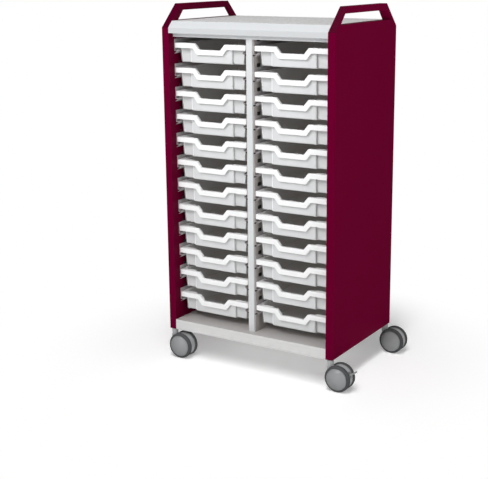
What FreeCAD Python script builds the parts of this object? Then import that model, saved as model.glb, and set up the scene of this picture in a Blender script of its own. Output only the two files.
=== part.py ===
import FreeCAD
import Part
import Sketcher
import os
import re

# Classroom tray storage unit on castors: a folded steel carcass with two loop-handled side
# panels, two bays of shallow pull-out trays on runners, and four twin-wheel castors.
# Millimetres, +Z up. The origin is on the floor, midway between the side panels and midway
# between their front and rear edges. The trays pull out towards -Y.

document = FreeCAD.newDocument("TrayUnit")
sizes = document.addObject("Spreadsheet::Sheet", "Sizes")

DRIVING = {
    # carcass
    "overall_width": 721,
    "depth": 491,
    "sheet": 1.2,
    "mitre": 0.414,
    "panel_thickness": 28.5,
    "panel_bottom": 112,
    "shoulder_height": 1280,
    "shoulder_run": 86,
    "grip_top": 1364.5,
    "grip_band": 24,
    "opening_bottom": 1304.5,
    "opening_half_top": 148,
    "opening_half_bottom": 181.5,
    "opening_flare": 25,
    "opening_sharp_mitre": 2.3,
    "opening_blunt_mitre": 0.43,
    # top, rails, shelf, back and divider
    "top_surface": 1304,
    "top_bevel": 24,
    "top_face_low": 1260,
    "rail_low": 1245.5,
    "rail_depth": 32,
    "front_recess": 28.7,
    "shelf_surface": 152,
    "shelf_return": 20,
    "divider_width": 23.8,
    "strip_thickness": 3.9,
    "strip_recess": 33,
    # trays
    "tray_width": 312,
    "tray_length": 427,
    "tray_height": 72,
    "tray_wall": 2.2,
    "tray_setback": 33.3,
    "bay_centre": 173.9,
    "row_pitch": 87,
    "end_gap": 4.6,
    "rim_second_row": 1132,
    "rim_plate": 2.5,
    "rim_front": 18.7,
    "rim_side": 29.2,
    "rim_rear": 17.5,
    "tub_inset": 13,
    "tub_draft": 7,
    "third_setback": 22.7,
    "label_setback": 10.7,
    "label_half": 91.5,
    "dip_depth": 22.4,
    "dip_half_top": 65.3,
    "dip_half_bottom": 46.9,
    "ribbon_spread": 9.5,
    "cut_margin": 1,
    "cut_rise": 5,
    # runners
    "runner_length": 420,
    "runner_setback": 35,
    "runner_web": 1.6,
    "runner_rise": 14,
    "runner_reach": 15.5,
    "runner_lip": 25,
    "runner_floor": 29.4,
    "brace_foot": 40.4,
    "brace_toe": 3.6,
    "slot_length": 14,
    "slot_tall": 9,
    "slot_rise": 19,
    "slot_setback": 66,
    "slot_spacing": 340,
    # castors
    "pin_inset": 13.5,
    "castor_trail": 38.5,
    "wheel_radius": 50,
    "wheel_inner": 13.5,
    "cap_plane": 30.2,
    "cap_half_crown": 2.25,
    "cap_crown": 3,
    "tread_width": 11,
    "tyre_edge": 1,
    "rim_radius": 46.5,
    "cap_radius": 40.5,
    "cap_wall": 3,
    "cap_edge": 1,
    "shoulder_drop": 2.5,
    "housing_half": 11,
    "housing_radius": 45,
    "boss_radius": 12,
    "boss_low": 86,
    "boss_top": 110,
    "neck_lap": 2,
    "neck_rear": 9.6,
    "neck_foot": 4.8,
    "neck_front": 10.8,
    "neck_crown": 42,
    "pin_radius": 5,
    "pin_collar": 8,
    "pin_low": 94,
    "pin_top": 150,
    "axle_radius": 4,
    "running_gap": 0.05,
    "side_gap": 0.5,
    "socket_half": 11.5,
    "socket_height": 45,
    "pivot_radius": 34,
    "pivot_angle": 20,
    "lever_tilt": 31,
    "lever_arm_half": 4,
    "lever_heel": 4,
    "pedal_near": 15,
    "pedal_far": 40,
    "pedal_half": 8,
    "lever_half_thickness": 2.5,
    "trunnion_radius": 2.5,
    "lever_slot_drop": 7,
    "lever_slot_climb": 15,
    "blank_radius": 2.5,
    "blank_depth": 6,
    "blank_rise": 11.6,
    # fasteners
    "screw_radius": 4.5,
    "screw_head": 2.2,
    "screw_edge": 14,
    "screw_end": 30,
}

ROWS = 12
SCREW_ROWS = 5
SIDES = {"left": -1, "right": 1}
ENDS = {"front": -1, "rear": 1}
BRAKED = ("front_right", "rear_left")


def fill_sheet():
    for line, (name, value) in enumerate(DRIVING.items(), start=1):
        sizes.set(f"A{line}", name)
        sizes.set(f"B{line}", str(value))
        sizes.setAlias(f"B{line}", name)
    document.recompute()


def bound(formula):
    """The formula as the sheet's cells: each of its words is an alias in the sheet."""
    return re.sub(r"[a-z_]+\b(?!\()", r"Sizes.\g<0>", formula)


def number(formula):
    return float(sizes.evalExpression(bound(formula)))


def origin_plane(body, role):
    return next(feature for feature in body.Origin.OriginFeatures if feature.Role == role)


def new_body(label):
    body = document.addObject("PartDesign::Body", label)
    body.Label = label
    body.AllowCompound = True
    return body


def place(body, along_x="0", along_y="0", along_z="0"):
    body.setExpression("Placement.Base.x", bound(along_x))
    body.setExpression("Placement.Base.y", bound(along_y))
    body.setExpression("Placement.Base.z", bound(along_z))


def new_sketch(body, name, role, offset="0"):
    sketch = body.newObject("Sketcher::SketchObject", name)
    sketch.AttachmentSupport = [(origin_plane(body, role), "")]
    sketch.MapMode = "FlatFace"
    sketch.setExpression("AttachmentOffset.Base.z", bound(offset))
    return sketch


def add_polygon(sketch, corners):
    """Closed outline whose corners are pairs of dimension formulas, each held by its own
    horizontal and vertical distance from the sketch's origin."""
    places = [FreeCAD.Vector(number(across), number(along), 0) for across, along in corners]
    first = sketch.GeometryCount
    count = len(places)
    edges = [Part.LineSegment(places[i], places[(i + 1) % count]) for i in range(count)]
    sketch.addGeometry(edges)
    joins = []
    for i in range(count):
        joins.append(Sketcher.Constraint("Coincident", first + i, 2, first + (i + 1) % count, 1))
    sketch.addConstraint(joins)
    for i, (across, along) in enumerate(corners):
        hold_distance(sketch, "DistanceX", first + i, places[i].x, across)
        hold_distance(sketch, "DistanceY", first + i, places[i].y, along)


def hold_distance(sketch, kind, edge, value, formula):
    index = sketch.addConstraint(Sketcher.Constraint(kind, -1, 1, edge, 1, value))
    sketch.setExpression(f"Constraints[{index}]", bound(formula))


def add_circle(sketch, across, along, radius):
    centre = FreeCAD.Vector(number(across), number(along), 0)
    edge = sketch.addGeometry(Part.Circle(centre, FreeCAD.Vector(0, 0, 1), number(radius)))
    size = sketch.addConstraint(Sketcher.Constraint("Radius", edge, number(radius)))
    sketch.setExpression(f"Constraints[{size}]", bound(radius))
    for kind, value, formula in (("DistanceX", centre.x, across), ("DistanceY", centre.y, along)):
        index = sketch.addConstraint(Sketcher.Constraint(kind, -1, 1, edge, 3, value))
        sketch.setExpression(f"Constraints[{index}]", bound(formula))


def polygon_sketch(body, name, role, corners, offset="0"):
    sketch = new_sketch(body, name, role, offset)
    add_polygon(sketch, corners)
    return sketch


def pad(body, sketch, name, length, backwards=False, both_ways=False):
    feature = body.newObject("PartDesign::Pad", name)
    feature.Profile = sketch
    feature.Reversed = backwards
    feature.Midplane = both_ways
    feature.setExpression("Length", bound(length))
    return feature


def pocket(body, sketch, name, length, backwards=False, both_ways=False):
    feature = body.newObject("PartDesign::Pocket", name)
    feature.Profile = sketch
    feature.Reversed = backwards
    feature.Midplane = both_ways
    feature.setExpression("Length", bound(length))
    return feature


def revolve(body, sketch, name, kind="PartDesign::Revolution"):
    feature = body.newObject(kind, name)
    feature.Profile = sketch
    feature.ReferenceAxis = (sketch, ["V_Axis"])
    feature.Angle = 360
    return feature


def loft(body, first, second, name, kind="PartDesign::AdditiveLoft"):
    feature = body.newObject(kind, name)
    feature.Profile = first
    feature.Sections = [second]
    feature.Ruled = True
    return feature


def rectangle(low_across, high_across, low_along, high_along):
    return [
        (low_across, low_along),
        (high_across, low_along),
        (high_across, high_along),
        (low_across, high_along),
    ]


def mirrored(half):
    """Outline symmetrical about the sketch's vertical axis, from its right-hand corners."""
    return half + [(f"-({across})", along) for across, along in reversed(half)]


# --- side panels -------------------------------------------------------------------------

def panel_outline(inset):
    """Upright with a sloped shoulder at each end of the grip, drawn in Y and Z. The slope
    runs at close to 45 degrees, so an inset moves its two corners by the mitre's share."""
    share = f"{inset} * mitre"
    return mirrored([
        (f"depth / 2 - {inset}", f"panel_bottom + {inset}"),
        (f"depth / 2 - {inset}", f"shoulder_height - {share}"),
        (f"depth / 2 - shoulder_run - {share}", f"grip_top - {inset}"),
    ])


def grip_outline(flare="0", grow="0"):
    low = f"opening_half_bottom + {flare} + {grow} * opening_sharp_mitre"
    high = f"opening_half_top + {flare} + {grow} * opening_blunt_mitre"
    return mirrored([
        (low, f"opening_bottom - {grow}"),
        (high, f"grip_top - grip_band + {grow}"),
    ])


def grip_tunnel(body, side, name, grow, kind):
    """Hand hold through the panel. Its two ends flare towards the outer face."""
    narrow_at = f"{side} * (overall_width / 2 - panel_thickness)"
    wide_at = f"{side} * overall_width / 2"
    near = polygon_sketch(body, name + "Near", "YZ_Plane", grip_outline("0", grow), narrow_at)
    far_outline = grip_outline("opening_flare", grow)
    far = polygon_sketch(body, name + "Far", "YZ_Plane", far_outline, wide_at)
    return loft(body, near, far, name, kind)


def slot_centres():
    """Heights of the runner slots: one a little above each tray's rim."""
    return [f"{rim_height(row)} + slot_rise" for row in range(ROWS)]


def add_slots(sketch):
    for height in slot_centres():
        for end in (-1, 1):
            middle = f"slot_setback - depth / 2 + slot_spacing * {(end + 1) // 2}"
            add_polygon(sketch, rectangle(
                f"{middle} - slot_length / 2",
                f"{middle} + slot_length / 2",
                f"{height} - slot_tall / 2",
                f"{height} + slot_tall / 2",
            ))


def side_panel_outer(label, side):
    """Folded shell: outer face, a flange round the whole edge and the walls of the hand hold."""
    body = new_body(label)
    inward = side > 0
    face = f"{side} * overall_width / 2"
    liner_seat = f"{side} * (overall_width / 2 - panel_thickness + sheet)"
    whole = polygon_sketch(body, "Face", "YZ_Plane", panel_outline("0"), face)
    pad(body, whole, "Block", "panel_thickness - sheet", backwards=inward)
    hollow = polygon_sketch(body, "Hollow", "YZ_Plane", panel_outline("sheet"), liner_seat)
    pocket(body, hollow, "Shell", "panel_thickness - 2 * sheet", backwards=inward)
    grip_tunnel(body, side, "GripWalls", "sheet", "PartDesign::AdditiveLoft")
    trim = polygon_sketch(body, "Trim", "YZ_Plane", panel_outline("-sheet"), liner_seat)
    pocket(body, trim, "LinerSeat", "2 * sheet", backwards=not inward)
    grip_tunnel(body, side, "Grip", "0", "PartDesign::SubtractiveLoft")
    holes = new_sketch(body, "PinHoleSketch", "XY_Plane", "panel_bottom - sheet")
    for end in ENDS.values():
        across, along = pin_place(side, end)
        add_circle(holes, across, along, "pin_radius")
    pocket(body, holes, "PinHoles", "3 * sheet", backwards=True)
    return body


def side_panel_inner(label, side):
    """Flat liner that closes the shell and carries the runners of its bay."""
    body = new_body(label)
    backwards = side < 0
    face = f"{side} * (overall_width / 2 - panel_thickness)"
    whole = polygon_sketch(body, "Face", "YZ_Plane", panel_outline("0"), face)
    pad(body, whole, "Liner", "sheet", backwards=backwards)
    grip = polygon_sketch(body, "Grip", "YZ_Plane", grip_outline(), face)
    pocket(body, grip, "HandHold", "3 * sheet", both_ways=True)
    slots = new_sketch(body, "Slots", "YZ_Plane", face)
    add_slots(slots)
    pocket(body, slots, "RunnerSlots", "3 * sheet", both_ways=True)
    return body


# --- carcass -----------------------------------------------------------------------------

def inner_span():
    return "overall_width - 2 * panel_thickness"


def long_fold(body, name, corners):
    """Sheet folded to a section in Y and Z, as long as the space between the side panels."""
    sketch = polygon_sketch(body, name + "Section", "YZ_Plane", corners)
    return pad(body, sketch, name, inner_span(), both_ways=True)


def both_edges(outside, inside):
    """Section of a folded sheet with the same fold at its front and its rear edge. The
    outside runs from the fold's end to the flat, and the inside follows it one sheet in."""
    rear = outside + [(f"-({along})", height) for along, height in reversed(outside)]
    front = [(f"-({along})", height) for along, height in inside] + list(reversed(inside))
    return rear + front


def top_panel(label):
    """Top with bevelled front and rear edges, upright faces and returns underneath."""
    body = new_body(label)
    return_end = "depth / 2 - front_recess - rail_depth"
    long_fold(body, "Fold", both_edges([
        (return_end, "top_face_low"),
        ("depth / 2", "top_face_low"),
        ("depth / 2", "shoulder_height"),
        ("depth / 2 - top_bevel", "top_surface"),
    ], [
        (return_end, "top_face_low + sheet"),
        ("depth / 2 - sheet", "top_face_low + sheet"),
        ("depth / 2 - sheet", "shoulder_height - sheet * mitre"),
        ("depth / 2 - top_bevel - sheet * mitre", "top_surface - sheet"),
    ]))
    return body


def top_rails(label):
    """Front and rear rails under the top, each an angle of folded sheet."""
    body = new_body(label)
    for where, end in ENDS.items():
        face = f"{end} * (depth / 2 - front_recess)"
        inner_face = f"{end} * (depth / 2 - front_recess - sheet)"
        foot = f"{end} * (depth / 2 - front_recess - rail_depth)"
        long_fold(body, "Rail_" + where, [
            (face, "rail_low"),
            (face, "top_face_low"),
            (inner_face, "top_face_low"),
            (inner_face, "rail_low + sheet"),
            (foot, "rail_low + sheet"),
            (foot, "rail_low"),
        ])
    return body


def bottom_shelf(label):
    body = new_body(label)
    long_fold(body, "Fold", both_edges([
        ("depth / 2 - shelf_return", "panel_bottom"),
        ("depth / 2", "panel_bottom"),
        ("depth / 2", "shelf_surface"),
    ], [
        ("depth / 2 - shelf_return", "panel_bottom + sheet"),
        ("depth / 2 - sheet", "panel_bottom + sheet"),
        ("depth / 2 - sheet", "shelf_surface - sheet"),
    ]))
    return body


def back_panel(label):
    body = new_body(label)
    near = "depth / 2 - front_recess"
    long_fold(body, "Sheet", rectangle(near, f"{near} + sheet", "shelf_surface", "top_face_low"))
    return body


def centre_divider(label):
    """Upright box of folded sheet between the shelf and the rails, front to back."""
    body = new_body(label)
    section = new_sketch(body, "Section", "XY_Plane", "shelf_surface")
    for inset in ("0", "sheet"):
        add_polygon(section, rectangle(
            f"{inset} - divider_width / 2",
            f"divider_width / 2 - {inset}",
            f"front_recess - depth / 2 + {inset}",
            f"depth / 2 - front_recess - {inset}",
        ))
    pad(body, section, "Box", "rail_low - shelf_surface")
    return body


def divider_strips(label):
    """Slotted channels on both sides of the divider, which carry its runners."""
    body = new_body(label)
    front = "strip_recess - depth / 2"
    rear = "depth / 2 - front_recess"
    outlines = new_sketch(body, "Section", "XY_Plane", "shelf_surface")
    for side in SIDES.values():
        foot = f"{side} * divider_width / 2"
        back = f"{side} * (divider_width / 2 + strip_thickness - sheet)"
        face = f"{side} * (divider_width / 2 + strip_thickness)"
        add_polygon(outlines, [
            (foot, front),
            (face, front),
            (face, rear),
            (foot, rear),
            (foot, f"{rear} - sheet"),
            (back, f"{rear} - sheet"),
            (back, f"{front} + sheet"),
            (foot, f"{front} + sheet"),
        ])
    pad(body, outlines, "Strips", "rail_low - shelf_surface")
    slots = new_sketch(body, "Slots", "YZ_Plane")
    add_slots(slots)
    pocket(body, slots, "RunnerSlots", "2 * divider_width", both_ways=True)
    return body


# --- runners -----------------------------------------------------------------------------

def rim_height(row):
    """Height of a tray's rim. The first and last rows stand a little apart from the rest."""
    height = f"rim_second_row - row_pitch * {row - 1}"
    if row == 0:
        height += " + end_gap"
    if row == ROWS - 1:
        height += " - end_gap"
    return f"({height})"


def runner_outline(wall, side, rim):
    """Section of one runner in X and Z: a web on the wall, a trough for the tray's side and
    a brace that slopes from the trough's edge back down to the wall."""
    floor_low = f"{rim} - runner_floor - runner_web"
    def across(distance):
        return f"{wall} + {side} * ({distance})"

    return [
        (across("0"), f"{rim} + runner_rise"),
        (across("runner_web"), f"{rim} + runner_rise"),
        (across("runner_web"), f"{rim} - runner_floor"),
        (across("runner_reach - runner_web"), f"{rim} - runner_floor"),
        (across("runner_reach - runner_web"), f"{rim} - runner_lip"),
        (across("runner_reach"), f"{rim} - runner_lip"),
        (across("runner_reach"), floor_low),
        (across("0"), f"{rim} - brace_foot"),
        (across("0"), f"{rim} - brace_foot + runner_web"),
        (across("runner_reach - brace_toe"), floor_low),
        (across("0"), floor_low),
    ]


def runner_column(label, wall, side):
    """All the runners of one wall. Side is +1 where the bay lies towards +X of the wall."""
    body = new_body(label)
    sections = new_sketch(body, "Sections", "XZ_Plane", "depth / 2 - runner_setback")
    for row in range(ROWS):
        add_polygon(sections, runner_outline(wall, side, rim_height(row)))
    pad(body, sections, "Runners", "runner_length", backwards=True)
    return body


def all_runners():
    panel_face = "(overall_width / 2 - panel_thickness)"
    strip_face = "(divider_width / 2 + strip_thickness)"
    return [
        runner_column("runners_left_outer", f"-{panel_face}", 1),
        runner_column("runners_left_inner", f"-{strip_face}", -1),
        runner_column("runners_right_inner", strip_face, 1),
        runner_column("runners_right_outer", panel_face, -1),
    ]


# --- trays -------------------------------------------------------------------------------
# A tray's own origin is at the middle of its front rim's top edge, +Y towards its rear.

def tub_outline(inset, draft):
    """Plan of the tub: a forward middle third for the label, set back at both sides of it."""
    half = f"tray_width / 2 - tub_inset - {inset} - {draft} * tub_draft"
    return mirrored([
        (f"label_half - {inset}", f"label_setback + {inset} + {draft}"),
        (f"label_half - {inset}", f"third_setback + {inset} + {draft}"),
        (half, f"third_setback + {inset} + {draft}"),
        (half, f"tray_length - tub_inset - {inset} - {draft} * tub_draft"),
    ])


def ribbon_top(drop="0", spread="0"):
    return [
        (f"dip_half_bottom + {spread}", f"-dip_depth - {drop}"),
        (f"dip_half_top + {spread}", f"-{drop}"),
    ]


def tray(label, side, row):
    body = new_body(label)
    half = "tray_width / 2"
    front = mirrored(
        ribbon_top()
        + [(half, "0"), (half, "-rim_front")]
        + list(reversed(ribbon_top("rim_front", "ribbon_spread")))
    )
    bar = polygon_sketch(body, "FrontBar", "XZ_Plane", front)
    pad(body, bar, "Bar", "third_setback + tray_wall", backwards=True)
    under = mirrored(
        ribbon_top("rim_plate", "cut_margin")
        + [(f"{half} - tray_wall", "-rim_plate"), (f"{half} - tray_wall", "-tray_height")]
    )
    below = polygon_sketch(body, "BelowBar", "XZ_Plane", under, "-tray_wall")
    pocket(body, below, "BarHollow", "third_setback + tray_wall")
    ring_outer = rectangle(f"-{half}", half, "third_setback", "tray_length")
    ring = polygon_sketch(body, "Ring", "XY_Plane", ring_outer)
    pad(body, ring, "Rim", "rim_side", backwards=True)
    ring_inner = rectangle(
        f"tray_wall - {half}", f"{half} - tray_wall", "third_setback - tray_wall",
        "tray_length - tray_wall",
    )
    space = polygon_sketch(body, "RingSpace", "XY_Plane", ring_inner, "-rim_plate")
    pocket(body, space, "RimHollow", "rim_side")
    rear_half = f"{half} - tray_wall"
    low_rear = rectangle(f"-({rear_half})", rear_half, "-rim_side - cut_margin", "-rim_rear")
    behind = polygon_sketch(body, "RearRim", "XZ_Plane", low_rear, "2 * tray_wall - tray_length")
    pocket(body, behind, "RunnerGap", "3 * tray_wall")
    top_out = polygon_sketch(body, "TubTop", "XY_Plane", tub_outline("0", "0"))
    low_out = polygon_sketch(body, "TubFoot", "XY_Plane", tub_outline("0", "1"), "-tray_height")
    loft(body, top_out, low_out, "Tub")
    floor_up = "tray_wall - tray_height"
    top_in = polygon_sketch(body, "CavityTop", "XY_Plane", tub_outline("tray_wall", "0"))
    low_in = polygon_sketch(
        body, "CavityFoot", "XY_Plane", tub_outline("tray_wall", "1"), floor_up
    )
    loft(body, top_in, low_in, "Cavity", "PartDesign::SubtractiveLoft")
    notch = mirrored(ribbon_top() + [("dip_half_top + cut_margin", "cut_rise")])
    dip = polygon_sketch(body, "Dip", "XZ_Plane", notch, "cut_margin")
    pocket(body, dip, "FingerDip", "third_setback + 2 * tray_wall")
    place(body, f"{side} * bay_centre", "tray_setback - depth / 2", rim_height(row))
    return body


# --- castors -----------------------------------------------------------------------------
# A castor's own origin is on the floor under its pin. Its wheels trail towards +X.

def pin_place(side, end):
    across = f"{side} * (overall_width / 2 - panel_thickness / 2)"
    along = f"{end} * (depth / 2 - pin_inset)"
    return across, along


def castor_sockets(label):
    """Steel sockets in the foot of each side panel, one for each castor pin."""
    body = new_body(label)
    plan = new_sketch(body, "Plan", "XY_Plane", "panel_bottom + sheet")
    bores = new_sketch(body, "BorePlan", "XY_Plane", "panel_bottom")
    for side in SIDES.values():
        for end in ENDS.values():
            across, along = pin_place(side, end)
            add_polygon(plan, rectangle(
                f"{across} - socket_half",
                f"{across} + socket_half",
                f"{along} - socket_half",
                f"{along} + socket_half",
            ))
            add_circle(bores, across, along, "pin_radius")
    pad(body, plan, "Blocks", "socket_height")
    pocket(body, bores, "Bores", "2 * socket_height", backwards=True)
    return body


def castor_pins(label):
    """Fixed steel pins that the castors turn on, each with a collar under the panel."""
    body = new_body(label)
    plan = new_sketch(body, "PinPlan", "XY_Plane", "pin_low")
    collars = new_sketch(body, "CollarPlan", "XY_Plane", "boss_top + side_gap")
    for side in SIDES.values():
        for end in ENDS.values():
            across, along = pin_place(side, end)
            add_circle(plan, across, along, "pin_radius")
            add_circle(collars, across, along, "pin_collar")
    pad(body, plan, "Pins", "pin_top - pin_low")
    pad(body, collars, "Collars", "panel_bottom - boss_top - side_gap")
    return body


def castor_housing(label, side, end, braked):
    """Swivelling frame between the two wheels, with a boss that turns on the pin."""
    body = new_body(label)
    disc = new_sketch(body, "DiscSketch", "XZ_Plane")
    add_circle(disc, "castor_trail", "wheel_radius", "housing_radius")
    pad(body, disc, "Disc", "2 * housing_half", both_ways=True)
    neck = polygon_sketch(body, "NeckSketch", "XZ_Plane", [
        ("-neck_rear", "boss_low + neck_lap"),
        ("-neck_foot", "wheel_radius"),
        ("castor_trail", "wheel_radius"),
        ("castor_trail", "wheel_radius + neck_crown"),
        ("neck_front", "boss_low + neck_lap"),
    ])
    pad(body, neck, "Neck", "2 * housing_half", both_ways=True)
    boss = new_sketch(body, "BossSketch", "XY_Plane", "boss_low")
    add_circle(boss, "0", "0", "boss_radius")
    pad(body, boss, "Boss", "boss_top - boss_low")
    bore = new_sketch(body, "PinBoreSketch", "XY_Plane", "pin_low - side_gap")
    add_circle(bore, "0", "0", "pin_radius + running_gap")
    pocket(body, bore, "PinBore", "pin_top - pin_low", backwards=True)
    through = new_sketch(body, "AxleBoreSketch", "XZ_Plane")
    add_circle(through, "castor_trail", "wheel_radius", "axle_radius")
    pocket(body, through, "AxleBore", "4 * housing_half", both_ways=True)
    if braked:
        cut_lever_slot(body)
    else:
        cut_blank_hole(body)
    across, along = pin_place(side, end)
    place(body, across, along)
    return body


def lever_pivot():
    """Place of the brake lever's pivot in X and Z, on a radius of the wheel."""
    across = "castor_trail + pivot_radius * cos(pivot_angle)"
    height = "wheel_radius + pivot_radius * sin(pivot_angle)"
    return across, height


def cut_lever_slot(body):
    """Slot between two cheeks of the housing for the lever's arm, and its trunnions' bore."""
    across, height = lever_pivot()
    slot = polygon_sketch(body, "LeverSlotSketch", "XZ_Plane", rectangle(
        f"{across} - lever_slot_drop",
        "castor_trail + housing_radius + lever_slot_drop",
        f"{height} - lever_slot_drop",
        f"{height} + lever_slot_climb",
    ))
    width = "2 * (lever_arm_half + side_gap)"
    pocket(body, slot, "LeverSlot", width, both_ways=True)
    bore = new_sketch(body, "TrunnionBoreSketch", "XZ_Plane")
    add_circle(bore, across, height, "trunnion_radius + running_gap")
    pocket(body, bore, "TrunnionBore", "4 * housing_half", both_ways=True)


def cut_blank_hole(body):
    """Short blind hole in the rim of a housing that has no brake, where a lever would sit."""
    hole = new_sketch(body, "BlankSketch", "YZ_Plane", "castor_trail + housing_radius")
    add_circle(hole, "0", "wheel_radius + blank_rise", "blank_radius")
    pocket(body, hole, "BlankHole", "blank_depth")


def castor_axle(label, side, end):
    body = new_body(label)
    section = new_sketch(body, "Section", "XZ_Plane")
    add_circle(section, "castor_trail", "wheel_radius", "axle_radius")
    pad(body, section, "Rod", "2 * (cap_plane - 2 * cap_wall)", both_ways=True)
    across, along = pin_place(side, end)
    place(body, across, along)
    return body


def spin_about_y(body, side, end):
    """Lays a body that was revolved about its own Z axis on its castor's wheel axis."""
    body.Placement = FreeCAD.Placement(
        FreeCAD.Vector(), FreeCAD.Rotation(FreeCAD.Vector(1, 0, 0), -90)
    )
    across, along = pin_place(side, end)
    place(body, f"{across} + castor_trail", along, "wheel_radius")


def castor_wheels(label, side, end):
    """Both hubs of one castor: a rim as wide as the tread, narrowing to a crowned cap on the
    outside that closes the axle's bore."""
    body = new_body(label)
    halves = new_sketch(body, "Halves", "XZ_Plane")
    for out in (-1, 1):
        add_polygon(halves, [
            ("axle_radius + running_gap", f"{out} * wheel_inner"),
            ("rim_radius", f"{out} * wheel_inner"),
            ("rim_radius", f"{out} * (wheel_inner + tread_width)"),
            ("cap_radius", f"{out} * (cap_plane - cap_wall)"),
            ("cap_radius", f"{out} * (cap_plane - cap_edge)"),
            ("cap_radius - cap_edge", f"{out} * cap_plane"),
            ("cap_radius / 2", f"{out} * (cap_plane + cap_half_crown)"),
            ("0", f"{out} * (cap_plane + cap_crown)"),
            ("0", f"{out} * (cap_plane - cap_wall)"),
            ("axle_radius + running_gap", f"{out} * (cap_plane - cap_wall)"),
        ])
    revolve(body, halves, "Hubs")
    spin_about_y(body, side, end)
    return body


def castor_tyres(label, side, end):
    """Both tyres of one castor: a thin tread with a long shoulder towards the outside."""
    body = new_body(label)
    rings = new_sketch(body, "Rings", "XZ_Plane")
    for out in (-1, 1):
        add_polygon(rings, [
            ("rim_radius", f"{out} * wheel_inner"),
            ("wheel_radius - tyre_edge", f"{out} * wheel_inner"),
            ("wheel_radius", f"{out} * (wheel_inner + tyre_edge)"),
            ("wheel_radius", f"{out} * (wheel_inner + tread_width)"),
            ("wheel_radius - shoulder_drop", f"{out} * (cap_plane - cap_wall)"),
            ("cap_radius + cap_edge", f"{out} * (cap_plane - cap_edge)"),
            ("cap_radius", f"{out} * (cap_plane - cap_edge)"),
            ("cap_radius", f"{out} * (cap_plane - cap_wall)"),
            ("rim_radius", f"{out} * (wheel_inner + tread_width)"),
        ])
    revolve(body, rings, "Treads")
    spin_about_y(body, side, end)
    return body


def brake_lever(label, side, end):
    """Foot lever: an arm between the housing's cheeks with moulded trunnions, and a pedal
    outside. Its own origin is on the trunnions' axis, with +X along the arm."""
    body = new_body(label)
    arm = polygon_sketch(body, "ArmSketch", "XZ_Plane", rectangle(
        "-lever_heel", "pedal_near", "-lever_half_thickness", "lever_half_thickness"
    ))
    pad(body, arm, "Arm", "2 * lever_arm_half", both_ways=True)
    tread = polygon_sketch(body, "PedalSketch", "XZ_Plane", rectangle(
        "pedal_near", "pedal_far", "-lever_half_thickness", "lever_half_thickness"
    ))
    pad(body, tread, "Pedal", "2 * pedal_half", both_ways=True)
    pins = new_sketch(body, "TrunnionSketch", "XZ_Plane")
    add_circle(pins, "0", "0", "trunnion_radius")
    pad(body, pins, "Trunnions", "2 * (housing_half - side_gap)", both_ways=True)
    body.Placement = FreeCAD.Placement(
        FreeCAD.Vector(), FreeCAD.Rotation(FreeCAD.Vector(0, 1, 0), -number("lever_tilt"))
    )
    body.setExpression("Placement.Rotation.Angle", bound("-lever_tilt"))
    across, along = pin_place(side, end)
    from_pin, height = lever_pivot()
    place(body, f"{across} + {from_pin}", along, height)
    return body


# --- fasteners ---------------------------------------------------------------------------

def back_screws(label):
    """Domed screws that hold the back panel to the divider and the side panels' liners."""
    body = new_body(label)
    face = "depth / 2 - front_recess + sheet"
    heads = new_sketch(body, "Heads", "XZ_Plane", f"-({face})")
    last = SCREW_ROWS - 1
    for column in (-1, 0, 1):
        across = f"{column} * (overall_width / 2 - panel_thickness - screw_edge)"
        for row in range(SCREW_ROWS):
            rise = f"(top_face_low - shelf_surface - 2 * screw_end) * {row} / {last}"
            add_circle(heads, across, f"shelf_surface + screw_end + {rise}", "screw_radius")
    pad(body, heads, "ScrewHeads", "screw_head", backwards=True)
    return body


def build():
    fill_sheet()
    parts = []
    for name, side in SIDES.items():
        parts.append(side_panel_outer(f"side_panel_{name}_outer", side))
        parts.append(side_panel_inner(f"side_panel_{name}_inner", side))
    parts.append(top_panel("top_panel"))
    parts.append(top_rails("top_rails"))
    parts.append(bottom_shelf("bottom_shelf"))
    parts.append(back_panel("back_panel"))
    parts.append(centre_divider("centre_divider"))
    parts.append(divider_strips("divider_strips"))
    parts += all_runners()
    for name, side in SIDES.items():
        for row in range(ROWS):
            parts.append(tray(f"tray_{name}_{row + 1:02d}", side, row))
    parts.append(castor_sockets("castor_sockets"))
    parts.append(castor_pins("castor_pins"))
    for where, end in ENDS.items():
        for name, side in SIDES.items():
            corner = f"{where}_{name}"
            braked = corner in BRAKED
            parts.append(castor_housing(f"castor_housing_{corner}", side, end, braked))
            parts.append(castor_axle(f"castor_axle_{corner}", side, end))
            parts.append(castor_wheels(f"castor_wheels_{corner}", side, end))
            parts.append(castor_tyres(f"castor_tyres_{corner}", side, end))
            if braked:
                parts.append(brake_lever(f"brake_lever_{corner}", side, end))
    parts.append(back_screws("back_screws"))
    document.recompute()
    return parts


def check(parts):
    for thing in document.Objects:
        if "Invalid" in thing.State or "Error" in thing.State:
            raise RuntimeError(f"{thing.Label} did not recompute: {thing.State}")
    for part in parts:
        if part.Shape.isNull() or not part.Shape.isValid() or not part.Shape.Solids:
            raise RuntimeError(f"{part.Label} has no valid solid")


def export(parts):
    os.makedirs("parts", exist_ok=True)
    for part in parts:
        part.Shape.exportStep(f"parts/{part.Label}.step")
        volume = part.Shape.Volume / 1000
        print(f"{part.Label}: {len(part.Shape.Solids)} solids, {volume:.1f} cm3")


made = build()
check(made)
export(made)
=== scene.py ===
import bpy
import bmesh
import math
from mathutils import Matrix, Vector


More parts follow.
